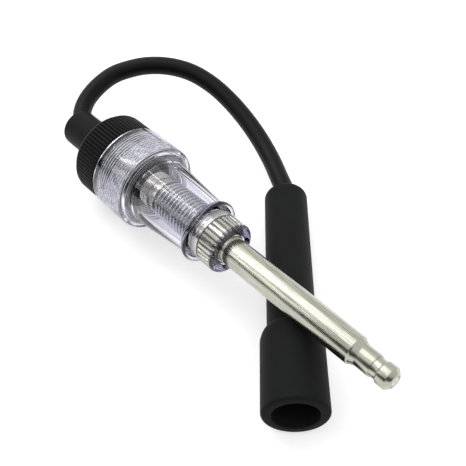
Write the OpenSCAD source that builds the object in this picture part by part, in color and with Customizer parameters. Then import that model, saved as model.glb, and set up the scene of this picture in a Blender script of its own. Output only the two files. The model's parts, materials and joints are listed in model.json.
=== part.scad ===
// In-line ignition spark tester: clear barrel with a neon lamp, screw cap, plug lead and rubber boot.
// Barrel pieces share one axis, with station 0 where the cap meets the collar. Boot pieces share another.

/* [Screw cap] */
// Diameter over the grip ribs
cap_d = 25.4; // [24.4:0.1:25.8]
// Length of the ribbed grip
cap_len = 10.6; // [9:0.1:12]
// Number of grip ribs
cap_ribs = 72; // [48:4:90]
// Depth of a grip rib
rib_depth = 0.45; // [0.2:0.05:0.7]
// Rounding of the cap's back edge
cap_round = 1.8; // [0.8:0.1:2.4]
// Thickness of the wall that the lead passes through
cap_wall = 3.2; // [2.4:0.1:4]
// Diameter of the neck round the lead
neck_d = 11.2; // [10.4:0.1:13]
// Length of the neck behind the grip
neck_len = 15.9; // [15:0.1:20]
// Length of the threaded spigot
spigot_len = 6; // [5:0.1:7]
// Bore of the threaded spigot
spigot_bore = 16; // [15:0.1:18]

/* [Thread] */
// Pitch of the thread
thread_pitch = 0.9; // [0.8:0.05:1.2]
// Depth of the thread
thread_depth = 0.5; // [0.4:0.05:0.6]
// Radial play of the spigot in the collar
thread_play = 0.3; // [0.2:0.05:0.4]

/* [Clear body] */
// How far the collar stands out past the cap's ribs
collar_proud = 0.3; // [0.2:0.1:0.6]
// Length of the collar
collar_len = 13.8; // [13.4:0.1:16]
// Wall of the collar outside its thread
collar_wall = 1; // [0.8:0.1:1.4]
// Diameter of the barrel beside the collar
barrel_d = 20.6; // [19.6:0.1:22]
// Diameter of the barrel beside the flange
barrel_tip_d = 16.6; // [16:0.1:17.6]
// Length of the barrel from shoulder to flange
barrel_len = 21.6; // [21:0.1:26]
// Wall of the barrel
barrel_wall = 1.5; // [1.2:0.1:1.8]
// Diameter of the flange
flange_d = 18.8; // [18:0.1:20]
// Length of the flange
flange_len = 1.7; // [1.2:0.1:2.4]
// Diameter of the end collar
end_d = 15; // [14.6:0.1:16]
// Length of the end collar
end_len = 8.6; // [8.2:0.1:9.6]
// Rounding of the end collar's rim
end_round = 0.9; // [0.4:0.1:1.2]
// Diameter of the recess round the rod
recess_d = 9.4; // [9:0.1:9.8]

/* [Bush and rod] */
// Diameter over the knurl of the bush
bush_d = 10.4; // [10:0.1:10.8]
// Length of the knurled part
knurl_len = 5.4; // [5:0.1:5.6]
// Number of knurl bars
knurls = 24; // [20:2:32]
// Depth of the knurl
knurl_depth = 0.35; // [0.2:0.05:0.5]
// Diameter of the smooth band behind the knurl
band_d = 12; // [11.4:0.1:12.4]
// Length of the smooth band
band_len = 4.2; // [3.6:0.1:4.6]
// Diameter of the probe rod
rod_d = 8; // [7.6:0.1:8.4]
// Diameter of the rod's shank in the bush
shank_d = 6; // [5:0.1:6.6]
// Length of the rod from the end collar's face to its shoulder
rod_reach = 45.2; // [42:0.1:50]
// Diameter of the terminal end that a plug lead snaps on
tip_d = 6.4; // [6.2:0.05:6.6]
// Diameter of the waist in the terminal end
waist_d = 5.5; // [5:0.1:5.8]

/* [Lamp and contacts] */
// Outside diameter of the contact spring
spring_d = 11.7; // [11:0.1:11.8]
// Thickness of the spring wire
wire_d = 0.8; // [0.6:0.05:0.85]
// Number of spring curls
curls = 11; // [8:1:11]
// Diameter of the lamp glass
lamp_d = 5.6; // [5:0.1:6]
// Length of the lamp glass
lamp_len = 11; // [9:0.1:12]
// Wall of the lamp glass
lamp_wall = 0.5; // [0.4:0.05:0.7]
// Thickness of a lamp electrode
electrode_d = 0.7; // [0.5:0.05:0.9]
// Diameter of the cap terminal's ringed head
terminal_d = 11.2; // [11:0.1:12]
// Length of the terminal's ringed head
head_len = 6.2; // [5:0.1:7]
// Station of the terminal's face, which the spring presses on
terminal_face = 18.6; // [17.6:0.1:19]

/* [Lead] */
// Diameter of the plug lead
lead_d = 5.8; // [5.4:0.1:6]
// Diameter of the lead's conductor
core_d = 1.8; // [1.4:0.1:2.2]

/* [Boot] */
// Length of the narrow part of the boot
boot_narrow_len = 49; // [45:0.5:53]
// Length from the step to the mouth
boot_wide_len = 24.7; // [24:0.1:30]
// Diameter of the boot where the lead enters
boot_top_d = 12.5; // [12:0.1:13]
// Diameter of the narrow part at the step
boot_neck_d = 13; // [12.6:0.1:13.4]
// Diameter of the wide part at the step
boot_step_d = 16.8; // [16:0.1:17.2]
// Diameter of the boot at its mouth
boot_mouth_d = 17.4; // [16.8:0.1:18]
// Rounded length of the step
boot_step_len = 4; // [3:0.1:5]
// Diameter of the mouth's hole
mouth_d = 12.1; // [11.6:0.1:12.6]
// Depth of the mouth's hole
mouth_depth = 13.6; // [12:0.1:15]
// Diameter of the chamber that holds the plug clip
chamber_d = 11.2; // [10.6:0.1:11.6]
// Outside diameter of the plug clip's sleeve
clip_d = 8.6; // [8.2:0.1:9.2]
// Length of the plug clip's sleeve
clip_len = 12; // [10:0.1:14]

/* [Lay] */
// Station of the rod that lies over the boot's step
rod_cross = 70.7; // [69:0.1:72]
// Height of the rod over the boot's narrow part
rod_over = 1.5; // [1.5:0.1:2.4]
// Plan angle of the boot from the rod
boot_turn = -42; // [-46:0.5:-38]

/* [Hidden] */
$fn = 96;

// Fits between pieces
seat_gap = 0.2;
press_gap = 0.03;
loose_gap = 0.1;

// Forms of the rod's terminal end and of the bush
cone_len = 1.5;
tip_neck_len = 4.3;
waist_len = 2.1;
head_tip_len = 3.8;
head_chamfer = 1.1;
shoulder_chamfer = 0.3;
edge = 0.2;
band_proud = 0.4;
band_play = 0.4;

// The collar that screws on the cap
collar_d = cap_d + 2 * collar_proud;

// Stations along the barrel axis
cap_back = -cap_len;
neck_end = cap_back - neck_len;
cap_floor = cap_back + cap_wall;
barrel_end = collar_len + barrel_len;
flange_end = barrel_end + flange_len;
face = flange_end + end_len;
bush_front = barrel_end + band_len + knurl_len;
band_back = barrel_end - band_proud;
knurl_back = band_back + band_len;
shoulder = face + rod_reach;
cone_end = shoulder + cone_len;
neck_front = cone_end + tip_neck_len;
waist_front = neck_front + waist_len;
tip_end = waist_front + head_tip_len;

// Thread in the collar, between a plain lip and the web that carries the barrel
root_r = collar_d / 2 - collar_wall;
crest_r = root_r - thread_depth;
lip_len = 1.4;
web = 1.1;
collar_turns = floor((collar_len - web - lip_len - seat_gap) / thread_pitch);
spigot_lip = 0.6;
spigot_turns = floor((spigot_len - 1.5 * spigot_lip) / thread_pitch);

// The barrel lies on the cap's back edge and rises just enough to carry the rod over the boot
boot_len = boot_narrow_len + boot_wide_len;
boot_round = 2.2;
mouth_round = 1;
boot_tip = asin((boot_mouth_d - boot_top_d) / 2 / (boot_len - boot_round - mouth_round));
boot_top_z = boot_top_d / 2 * cos(boot_tip) - boot_round * sin(boot_tip);
boot_step_z = boot_top_z + boot_narrow_len * sin(boot_tip);
rod_z = boot_step_z + boot_neck_d / 2 + rod_over + rod_d / 2;
edge_back = cap_len - cap_round;
lie_run = edge_back + rod_cross;
tilt = asin(rod_z / norm([cap_d / 2, lie_run])) - atan2(cap_d / 2, lie_run);
axis_z = cap_d / 2 * cos(tilt) + edge_back * sin(tilt);
low_x = neck_end * cos(tilt) - neck_d / 2 * sin(tilt);
high_x = tip_end * cos(tilt) + (tip_d / 2 - head_chamfer) * sin(tilt);
axis_x = -(low_x + high_x) / 2;
boot_step_x = axis_x + rod_cross * cos(tilt);
boot_side = -1;

// Centre line of the plug lead, from the cap's ferrule to the plug clip
lead_route = [
  [-46.8, 0, 12.6], [-52.3, 0, 12.1], [-57.8, 0.1, 11.6], [-61.5, 0.6, 11.3], [-64.9, 2, 11.2],
  [-68.2, 4.5, 11.5], [-70.7, 7.9, 12.2], [-72.1, 11.9, 13.1], [-72.7, 16.1, 14], [-72.5, 20.2, 14.8],
  [-71, 24.4, 15.5], [-67.9, 30.1, 16], [-63, 35.6, 15.8], [-56.6, 39.7, 15], [-49, 42, 13.4],
  [-41, 42.7, 11.4], [-32.8, 42.2, 9.4], [-24.8, 40.7, 7.7], [-16.8, 38.1, 6.6], [-10.1, 35.1, 6.2],
  [-3.7, 31.8, 6.2], [3.7, 25.1, 6.5], [16.3, 13.7, 7.1], [29.1, 2.2, 7.7]];
lead_steps = 3;
lead_sides = 10;

// Points on a quarter round, from angle a to angle b
function arc(r, z, radius, a, b, n = 6) =
  [for (i = [0 : n]) let (t = a + (b - a) * i / n) [r + radius * cos(t), z + radius * sin(t)]];

// Point of a smooth curve through the points q, at segment i and share t
function clamped(q, i) = q[max(0, min(len(q) - 1, i))];
function smooth(q, i, t) =
  let (a = clamped(q, i - 1), b = q[i], c = clamped(q, i + 1), d = clamped(q, i + 2))
  0.5 * (2 * b + (c - a) * t + (2 * a - 5 * b + 4 * c - d) * t * t + (3 * b - a - 3 * c + d) * t * t * t);
function smooth_path(q, steps) =
  [for (i = [0 : len(q) - 2]) for (k = [0 : steps - 1]) smooth(q, i, k / steps), q[len(q) - 1]];

// Rings of a round tube whose cross sections turn as little as they can along the path
function unit(v) = v / norm(v);
function tangent(p, i) = unit(clamped(p, i + 1) - clamped(p, i - 1));
function square_to(v, t) = unit(v - (v * t) * t);
function tube_sides(p, first) =
  [for (i = 0, s = square_to(first, tangent(p, 0)); i < len(p);
    i = i + 1, s = i < len(p) ? square_to(s, tangent(p, i)) : s) s];
function tube_points(p, r, n, first) =
  let (side = tube_sides(p, first))
  [for (i = [0 : len(p) - 1]) let (u = side[i], v = cross(tangent(p, i), u))
    for (k = [0 : n - 1]) p[i] + r * (cos(360 * k / n) * u + sin(360 * k / n) * v)];
function tube_faces(rings, n) = concat(
  [for (k = [1 : n - 2]) [0, k, k + 1]],
  [for (i = [0 : rings - 2]) for (k = [0 : n - 1]) each
    let (a = i * n + k, b = i * n + (k + 1) % n) [[a, a + n, b], [b, a + n, b + n]]],
  [for (k = [1 : n - 2]) let (e = (rings - 1) * n) [e, e + k + 1, e + k]]);
module tube(path, d, sides, first) {
  polyhedron(tube_points(path, d / 2, sides, first), tube_faces(len(path), sides));
}

// Contact spring: straight ends one wire thickness long, with even curls between them
spring_r = (spring_d - wire_d) / 2;
spring_from = terminal_face + loose_gap;
spring_to = band_back - loose_gap;
curl_from = spring_from + wire_d;
curl_to = spring_to - wire_d;
rings_a_curl = 8;
function on_curl(i) =
  let (a = 360 * i / rings_a_curl, share = i / (curls * rings_a_curl))
  [spring_r * cos(a), spring_r * sin(a), curl_from + (curl_to - curl_from) * share];
curl_path = [for (i = [0 : curls * rings_a_curl]) on_curl(i)];
spring_path = concat([[spring_r, 0, spring_from]], curl_path, [[spring_r, 0, spring_to]]);
spring_gap = min([for (i = [0 : len(curl_path) - 1])
  for (j = [i + rings_a_curl / 2 : 1 : len(curl_path) - 1]) norm(curl_path[i] - curl_path[j])]) - wire_d;
echo(spring_gap = spring_gap);

module on_barrel() {
  translate([axis_x, 0, axis_z]) rotate([0, 90 - tilt, 0]) children();
}

module on_boot() {
  translate([boot_step_x, boot_side, boot_step_z]) rotate([0, 90 - boot_tip, boot_turn])
    translate([0, 0, -boot_narrow_len]) children();
}

module round_bar(d, from, to) {
  translate([0, 0, from]) cylinder(d = d, h = to - from);
}

// Ring with even ribs along its outside, each with its flat top this share of a rib wide
module ribbed_ring(d, ribs, top, depth, inner_r, from, to) {
  w = 360 / ribs;
  translate([0, 0, from]) linear_extrude(to - from) difference() {
    polygon([for (i = [0 : ribs - 1]) each
      let (a = i * w, left = a - top * w / 2, right = a + top * w / 2, valley = a + w / 2)
      [d / 2 * [cos(left), sin(left)], d / 2 * [cos(right), sin(right)],
        (d / 2 - depth) * [cos(valley), sin(valley)]]]);
    circle(r = inner_r);
  }
}

// Ring grooves of a thread along a wall, from station z
function thread_line(crest, root, z, turns) =
  [for (i = [0 : turns - 1]) each
    [[crest, z + i * thread_pitch], [root, z + (i + 0.5) * thread_pitch]], [crest, z + turns * thread_pitch]];
function turned(q) = [for (i = [len(q) - 1 : -1 : 0]) q[i]];

module screw_cap() {
  grip_lap = 1;
  grip_r = cap_d / 2 - rib_depth - loose_gap;
  spigot_r = crest_r - thread_play;
  spigot_root = spigot_r - thread_depth;
  flare_r = 4.5;
  flare_len = 7;
  neck_round = 1;
  neck_fillet = 1;
  pocket_r = ferrule_d / 2 + loose_gap;
  lead_r = lead_d / 2 + loose_gap;
  pocket_back = cap_floor - ferrule_len - loose_gap;
  color([0.14, 0.15, 0.15]) on_barrel() {
    ribbed_ring(cap_d, cap_ribs, 0.4, rib_depth, grip_r - grip_lap, cap_back + cap_round, 0);
    rotate_extrude() polygon(concat(
      arc(neck_d / 2 - neck_round, neck_end + neck_round, neck_round, -90, 0),
      [[neck_d / 2, cap_back - neck_fillet], [neck_d / 2 + neck_fillet, cap_back]],
      arc(grip_r - cap_round, cap_back + cap_round, cap_round, -90, 0),
      [[grip_r, -edge], [spigot_root, -edge]],
      thread_line(spigot_root, spigot_r, spigot_lip, spigot_turns),
      [[spigot_root, spigot_len], [spigot_bore / 2, spigot_len], [spigot_bore / 2, cap_floor],
        [pocket_r, cap_floor], [pocket_r, pocket_back], [lead_r, pocket_back],
        [lead_r, neck_end + flare_len], [flare_r, neck_end]]));
  }
}

// Crimped sleeve that keeps the lead in the cap
ferrule_len = 4.4;
ferrule_wall = 0.8;
ferrule_d = lead_d + 2 * ferrule_wall;
core_len = 1.6;
module lead_ferrule() {
  color([0.78, 0.76, 0.7]) on_barrel() difference() {
    round_bar(ferrule_d, cap_floor - ferrule_len, cap_floor);
    round_bar(lead_d + 2 * press_gap, cap_floor - ferrule_len - 1, cap_floor - core_len);
    round_bar(core_d + 2 * press_gap, cap_floor - core_len - 1, cap_floor + 1);
  }
}

module cap_core() {
  color([0.72, 0.45, 0.25]) on_barrel() round_bar(core_d, cap_floor - core_len, cap_floor);
}

module cap_terminal() {
  head_back = terminal_face - head_len;
  disc_r = spigot_bore / 2 - loose_gap;
  disc_len = 1.2;
  disc_front = cap_floor + disc_len;
  stem_r = 3.2;
  groove = 0.3;
  rings = 4;
  head_r = terminal_d / 2;
  ring_len = head_len / rings;
  nose_r = spring_r - wire_d;
  color([0.84, 0.74, 0.5]) on_barrel() rotate_extrude() polygon(concat(
    [[0, cap_floor], [disc_r, cap_floor], [disc_r, disc_front], [stem_r, disc_front], [stem_r, head_back]],
    [for (i = [0 : rings - 1]) each let (z = head_back + i * ring_len)
      [[head_r - groove, z], [head_r, z + 0.3 * ring_len], [head_r, z + 0.7 * ring_len]]],
    [[head_r - groove, terminal_face], [nose_r, terminal_face], [nose_r, nose_end], [0, nose_end]]));
}

module contact_spring() {
  color([0.72, 0.72, 0.72]) on_barrel() tube(spring_path, wire_d, 6, [1, 0, 0.5]);
}

// Neon lamp between the terminal's nose and the bush, held by its two electrodes
nose_len = 1.4;
nose_end = terminal_face + nose_len;
lamp_mid = (nose_end + band_back) / 2;
electrode_side = lamp_d * 0.16;
electrode_lap = 1.6;
module lamp_glass() {
  r = lamp_d / 2;
  end_r = 0.57 * r;
  half = lamp_len / 2;
  inner = r - lamp_wall;
  color([0.92, 0.9, 0.86, 0.5]) on_barrel() translate([0, 0, lamp_mid]) difference() {
    rotate_extrude() polygon(concat([[0, -half]], arc(r - end_r, end_r - half, end_r, -90, 0),
      arc(r - end_r, half - end_r, end_r, 0, 90), [[0, half]]));
    round_bar(2 * inner, lamp_wall * 2 - half, half - lamp_wall * 2);
    translate([electrode_side, 0, 0]) round_bar(electrode_d + 2 * press_gap, -half - 1, 0);
    translate([-electrode_side, 0, 0]) round_bar(electrode_d + 2 * press_gap, 0, half + 1);
  }
}

module rear_electrode() {
  color([0.8, 0.8, 0.78]) on_barrel() translate([electrode_side, 0, 0])
    round_bar(electrode_d, nose_end + loose_gap, lamp_mid + electrode_lap);
}

module front_electrode() {
  color([0.8, 0.8, 0.78]) on_barrel() translate([-electrode_side, 0, 0])
    round_bar(electrode_d, lamp_mid - electrode_lap, band_back - loose_gap);
}

module clear_body() {
  collar_r = collar_d / 2;
  barrel_r = barrel_d / 2;
  inner_r = barrel_r - barrel_wall;
  flange_r = flange_d / 2;
  end_r = end_d / 2;
  bush_r = bush_d / 2 + press_gap;
  band_r = band_d / 2 + press_gap;
  rim = 0.5;
  collar_round = 0.55 * (collar_r - barrel_r);
  flange_round = flange_len * 0.45;
  band_seat = band_back - band_play;
  color([0.85, 0.84, 0.93, 0.35]) on_barrel() rotate_extrude() polygon(concat(
    [[collar_r - rim, seat_gap], [collar_r, seat_gap + rim]],
    arc(collar_r - collar_round, collar_len - collar_round, collar_round, 0, 90),
    [[barrel_r, collar_len], [barrel_tip_d / 2, barrel_end]],
    arc(flange_r - flange_round, barrel_end + flange_round, flange_round, -90, 0),
    arc(flange_r - flange_round, flange_end - flange_round, flange_round, 0, 90),
    [[end_r, flange_end]],
    arc(end_r - end_round, face - end_round, end_round, 0, 90),
    [[recess_d / 2, face], [recess_d / 2, bush_front], [bush_r, bush_front], [bush_r, knurl_back],
      [band_r, knurl_back], [band_r, band_seat], [barrel_tip_d / 2 - barrel_wall, band_seat],
      [inner_r, collar_len], [inner_r, collar_len - web], [crest_r, collar_len - web]],
    turned(thread_line(crest_r, root_r, seat_gap + lip_len, collar_turns)),
    [[crest_r, seat_gap]]));
}

// The shank stands in a blind hole of the bush, and the rod's back edge stops on the bush's front
shank_len = 1.4;
shank_back = knurl_back - shank_len;
bush_face = bush_front - band_play;
module knurled_bush() {
  lap = 0.5;
  color([0.83, 0.81, 0.72]) on_barrel() difference() {
    union() {
      round_bar(band_d, band_back, knurl_back);
      ribbed_ring(bush_d, knurls, 0.7, knurl_depth, shank_d / 2 + press_gap, knurl_back - lap, bush_face);
    }
    round_bar(shank_d + 2 * press_gap, shank_back - edge, bush_front);
  }
}

module probe_rod() {
  rod_r = rod_d / 2;
  tip_r = tip_d / 2;
  neck_r = tip_r - loose_gap;
  rod_back = bush_face + loose_gap;
  color([0.84, 0.82, 0.75]) on_barrel() rotate_extrude() polygon([
    [0, shank_back], [shank_d / 2, shank_back], [shank_d / 2, rod_back], [rod_r, rod_back],
    [rod_r, shoulder - shoulder_chamfer], [rod_r - shoulder_chamfer, shoulder], [neck_r, cone_end],
    [neck_r, neck_front], [waist_d / 2, neck_front], [waist_d / 2, waist_front - edge],
    [tip_r, waist_front + edge], [tip_r, tip_end - head_chamfer], [tip_r - head_chamfer, tip_end],
    [0, tip_end]]);
}

module lead() {
  color([0.12, 0.12, 0.13]) tube(smooth_path(lead_route, lead_steps), lead_d, lead_sides, [0, 0, 1]);
}

clip_flange = 1.2;
chamber_len = clip_flange + clip_len + seat_gap;
clip_back = boot_len - mouth_depth - chamber_len;
clip_front = clip_back + clip_flange + clip_len;
module boot() {
  top_r = boot_top_d / 2;
  step_r = boot_step_d / 2;
  rise = step_r - boot_neck_d / 2;
  step_end = boot_narrow_len + boot_step_len;
  lip_r = boot_mouth_d / 2 - mouth_round;
  color([0.16, 0.16, 0.16]) on_boot() difference() {
    rotate_extrude() polygon(concat(
      [[0, 0]], arc(top_r - boot_round, boot_round, boot_round, -90, 0),
      [for (i = [0 : 6]) [boot_neck_d / 2 + rise * sin(15 * i), step_end - boot_step_len * cos(15 * i)]],
      arc(lip_r, boot_len - mouth_round, mouth_round, 0, 90), [[0, boot_len]]));
    round_bar(mouth_d, boot_len - mouth_depth, boot_len + 1);
    round_bar(chamber_d, clip_back, boot_len);
    round_bar(lead_d + 4 * loose_gap, -1, clip_back + 1);
  }
}

module plug_clip() {
  sleeve_bore = tip_d + 2 * loose_gap;
  color([0.8, 0.68, 0.42]) on_boot() difference() {
    union() {
      round_bar(chamber_d - 2 * loose_gap, clip_back + loose_gap, clip_back + clip_flange);
      round_bar(clip_d, clip_back + clip_flange, clip_front);
    }
    round_bar(sleeve_bore, clip_back + clip_flange, clip_front + 1);
    round_bar(core_d + 2 * press_gap, clip_back, clip_back + clip_flange + 1);
    translate([0, 0, ring_seat]) rotate_extrude()
      translate([clip_d / 2, 0]) circle(d = ring_wire + 2 * press_gap);
  }
}

// Wire ring in the clip's groove that closes it on the plug
ring_wire = 0.9;
ring_seat = clip_front - clip_len / 3;
module clip_ring() {
  color([0.7, 0.7, 0.7]) on_boot() translate([0, 0, ring_seat])
    rotate_extrude() translate([clip_d / 2, 0]) circle(d = ring_wire);
}

boot_core_len = 2.4;
module boot_core() {
  color([0.72, 0.45, 0.25]) on_boot() round_bar(core_d, clip_back - boot_core_len, clip_back + clip_flange);
}

screw_cap();
cap_terminal();
lead_ferrule();
cap_core();
lead();
contact_spring();
lamp_glass();
rear_electrode();
front_electrode();
clear_body();
knurled_bush();
probe_rod();
boot();
plug_clip();
clip_ring();
boot_core();
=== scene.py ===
import json
import math

import bpy
from bpy.props import FloatProperty, FloatVectorProperty, IntProperty, PointerProperty
from mathutils import Matrix, Quaternion, Vector


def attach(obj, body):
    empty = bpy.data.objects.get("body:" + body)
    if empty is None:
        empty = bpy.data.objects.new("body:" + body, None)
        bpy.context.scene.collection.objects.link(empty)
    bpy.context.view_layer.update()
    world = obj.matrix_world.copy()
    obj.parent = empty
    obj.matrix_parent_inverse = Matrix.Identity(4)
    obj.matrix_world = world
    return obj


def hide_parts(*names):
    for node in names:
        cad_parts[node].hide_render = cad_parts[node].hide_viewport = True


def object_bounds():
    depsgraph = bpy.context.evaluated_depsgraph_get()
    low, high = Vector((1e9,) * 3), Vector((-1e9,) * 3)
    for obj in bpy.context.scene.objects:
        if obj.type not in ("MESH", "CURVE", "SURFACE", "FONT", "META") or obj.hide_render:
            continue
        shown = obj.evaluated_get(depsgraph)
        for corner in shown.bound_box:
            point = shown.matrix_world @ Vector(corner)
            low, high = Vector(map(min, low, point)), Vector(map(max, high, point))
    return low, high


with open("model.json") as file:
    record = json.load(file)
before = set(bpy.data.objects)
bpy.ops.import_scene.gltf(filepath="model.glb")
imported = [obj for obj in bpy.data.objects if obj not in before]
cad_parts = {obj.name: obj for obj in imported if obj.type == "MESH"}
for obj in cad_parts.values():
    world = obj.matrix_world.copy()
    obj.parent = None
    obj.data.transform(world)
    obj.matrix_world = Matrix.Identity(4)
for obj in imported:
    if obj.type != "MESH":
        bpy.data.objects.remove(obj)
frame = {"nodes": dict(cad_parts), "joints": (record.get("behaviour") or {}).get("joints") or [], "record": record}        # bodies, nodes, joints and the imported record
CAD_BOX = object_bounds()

bl_info = {
    "name": "Spark tester",
    "version": (1, 0, 0),
    "blender": (4, 5, 0),
    "location": "View3D > Sidebar > Spark tester",
    "description": "Models and finishes the pieces of an in-line ignition spark tester",
    "category": "Object",
}

MM = 0.001
FULL_TURN = 2 * math.pi

# Axes of the two straight groups of pieces, from the frame's joint and mounts
SCREW = next(j for j in frame["joints"] if j["name"] == "screw_turn")
MOUNTS = {m["name"]: m for m in frame["record"]["mounts"]}
MOUTH = MOUNTS["boot_mouth"]

# Stations along the barrel axis in millimetres, from where the cap meets the collar
NECK_END = -26.5
CAP_BACK = -10.6
CAP_FLOOR = -7.4
SPIGOT_END = 6.0
COLLAR_END = 13.8
TERMINAL_BACK = 12.4
TERMINAL_FACE = 18.6
NOSE_END = 20.0
BARREL_END = 35.4
BAND_BACK = 35.0
FLANGE_END = 37.1
KNURL_BACK = 39.2
BUSH_FACE = 44.6
FACE = 45.7
ROD_SHOULDER = 90.9
CONE_END = 92.4
NECK_FRONT = 96.7
WAIST_FRONT = 98.8
TIP_END = 102.6

# Collar: gap before the cap, start of its thread, wall of its shoulder and height of the fine rings there
COLLAR_SEAT = 0.2
THREAD_START = 1.6
SHOULDER_WALL = 1.1
RING_HEIGHT = 0.12

# Share of a thread's flank, from its crest, that is frosted: a pale finish painted in place of the thread's
# highlights
NEAR_CREST = 0.3

# Lengths along the boot in millimetres, from where the lead enters
BOOT_LEN = 73.7
BOOT_STEP = 49.0
BOOT_STEP_LEN = 4.0
MOUTH_FLOOR = 60.1
CLIP_BACK = 46.7

# Centre line of the plug lead in millimetres, from the cap's ferrule to the plug clip
LEAD_ROUTE = [
    (-46.8, 0, 12.6), (-52.3, 0, 12.1), (-57.8, 0.1, 11.6), (-61.5, 0.6, 11.3), (-64.9, 2, 11.2),
    (-68.2, 4.5, 11.5), (-70.7, 7.9, 12.2), (-72.1, 11.9, 13.1), (-72.7, 16.1, 14), (-72.5, 20.2, 14.8),
    (-71, 24.4, 15.5), (-67.9, 30.1, 16), (-63, 35.6, 15.8), (-56.6, 39.7, 15), (-49, 42, 13.4),
    (-41, 42.7, 11.4), (-32.8, 42.2, 9.4), (-24.8, 40.7, 7.7), (-16.8, 38.1, 6.6), (-10.1, 35.1, 6.2),
    (-3.7, 31.8, 6.2), (3.7, 25.1, 6.5), (16.3, 13.7, 7.1), (29.1, 2.2, 7.7),
]

# Camera of the photograph: where it stands, which way it looks and its focal length in pixels
CAMERA_AT = (0.1114, -0.0915, 0.1964)
CAMERA_HEADING = 138.38
CAMERA_PITCH = 51.15
FOCAL_PIXELS = 850
IMAGE_PIXELS = 466
SENSOR_MM = 36.0

# Studio: direction in which it grows paler, its tones from low to overhead and of its horizon, and its level
STUDIO_RISE = (-0.25, 0.62, 1.0)
STUDIO_TONES = ((0.06, (0.05, 0.05, 0.06)), (0.40, (0.09, 0.09, 0.10)), (0.51, (0.78, 0.78, 0.78)),
                (0.75, (0.85, 0.85, 0.85)))
HORIZON_TONE = (0.91, 0.91, 0.91, 1)
STUDIO_LEVEL = 1.1
FLOOR_LIFT = 0.57

# Tones of painted shade on clear plastic seen along its wall and at its rims, of frost painted as
# highlights, and of the lamp
GRAZING_SHADE_TONE = (0.10, 0.10, 0.24, 1)
RIM_SHADE_TONE = (0.30, 0.30, 0.48, 1)
FROST_HIGHLIGHT_TONE = (0.97, 0.97, 0.98, 1)
GLASS_TONE = (0.97, 0.96, 0.94, 1)


def size_prop(label, text, default):
    """A length that a user would change, in metres."""
    return FloatProperty(name=label, description=text, default=default, min=0.0, unit="LENGTH", precision=5)


def colour_prop(label, text, default):
    """A finish colour that a user would change."""
    return FloatVectorProperty(name=label, description=text, default=default, min=0, max=1, subtype="COLOR")


class TesterSizes(bpy.types.PropertyGroup):
    """Sizes of the tester's pieces."""
    cap_r: size_prop("Cap radius", "Radius over the cap's grip ribs", 12.7 * MM)
    rib_depth: size_prop("Rib depth", "Depth of a grip rib", 0.45 * MM)
    cap_ribs: IntProperty(name="Grip ribs", description="Number of ribs round the cap", default=72)
    neck_r: size_prop("Neck radius", "Radius of the neck round the lead", 5.6 * MM)
    collar_r: size_prop("Collar radius", "Radius of the clear collar", 13 * MM)
    thread_turns: IntProperty(name="Thread turns", description="Rings of thread in the collar", default=12)
    thread_pitch: size_prop("Thread pitch", "Distance from one thread to the next", 0.9 * MM)
    thread_depth: size_prop("Thread depth", "Depth of the thread", 0.5 * MM)
    barrel_r: size_prop("Barrel radius", "Radius of the barrel beside the collar", 10.3 * MM)
    barrel_tip_r: size_prop("Barrel front radius", "Radius of the barrel beside the flange", 8.3 * MM)
    barrel_wall: size_prop("Barrel wall", "Wall of the clear barrel", 1.5 * MM)
    spring_r: size_prop("Spring radius", "Radius at the middle of the spring wire", 5.45 * MM)
    wire_r: size_prop("Wire radius", "Half the thickness of the spring wire", 0.4 * MM)
    curls: IntProperty(name="Spring curls", description="Curls of the contact spring", default=11)
    lamp_r: size_prop("Lamp radius", "Radius of the lamp glass", 2.8 * MM)
    bush_r: size_prop("Bush radius", "Radius over the bush's knurl", 5.2 * MM)
    knurls: IntProperty(name="Knurl bars", description="Bars round the knurled bush", default=24)
    rod_r: size_prop("Rod radius", "Radius of the probe rod", 4 * MM)
    tip_r: size_prop("Terminal radius", "Radius of the rod's terminal end", 3.2 * MM)
    lead_r: size_prop("Lead radius", "Radius of the plug lead", 2.84 * MM)
    mouth_r: size_prop("Mouth radius", "Radius of the hole in the boot's mouth", 6.05 * MM)


class TesterColours(bpy.types.PropertyGroup):
    """Finish colours of the tester."""
    cap: colour_prop("Cap", "Moulded black plastic of the cap", (0.0105, 0.011, 0.0105))
    lead: colour_prop("Lead", "Black rubber of the lead", (0.004, 0.004, 0.0042))
    boot: colour_prop("Boot", "Matte black rubber of the boot", (0.0125, 0.0128, 0.0135))
    clear: colour_prop("Clear plastic", "Tint of the clear body", (0.90, 0.89, 0.97))
    nickel: colour_prop("Nickel", "Nickel plate of the rod and bush", (0.425, 0.42, 0.355))
    zinc: colour_prop("Zinc", "Zinc plate of the spring", (0.44, 0.45, 0.46))
    brass: colour_prop("Brass", "Brass of the contacts", (0.52, 0.52, 0.43))
    copper: colour_prop("Copper", "Bare conductor", (0.72, 0.38, 0.22))
    floor: colour_prop("Floor", "Pale studio floor", (0.64, 0.64, 0.64))


def sizes():
    """The scene's own size settings."""
    return bpy.context.scene.tester_sizes


def colour(name):
    """A finish colour with its alpha."""
    return (*getattr(bpy.context.scene.tester_colours, name), 1.0)


def axis_frame(origin, axis):
    """Matrix whose Z runs along axis from origin, and whose X points down."""
    z = Vector(axis).normalized()
    side = Vector((0, 0, 1)).cross(z).normalized()
    down = side.cross(z)
    turn = Matrix((down, side, z)).transposed().to_4x4()
    return Matrix.Translation(Vector(origin)) @ turn


BARREL = axis_frame(SCREW["pos_m"], SCREW["axis"])
MOUTH_STATION = BOOT_LEN - MOUTH["dims"]["length_mm"] / 2
BOOT_ORIGIN = Vector(MOUTH["pos_m"]) - Vector(MOUTH["axis"]) * MOUTH_STATION * MM
BOOT = axis_frame(BOOT_ORIGIN, MOUTH["axis"])


# Modelling helpers

def deselect():
    """Leave edit mode and select nothing."""
    if bpy.context.object and bpy.context.object.mode != "OBJECT":
        bpy.ops.object.mode_set(mode="OBJECT")
    bpy.ops.object.select_all(action="DESELECT")


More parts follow.
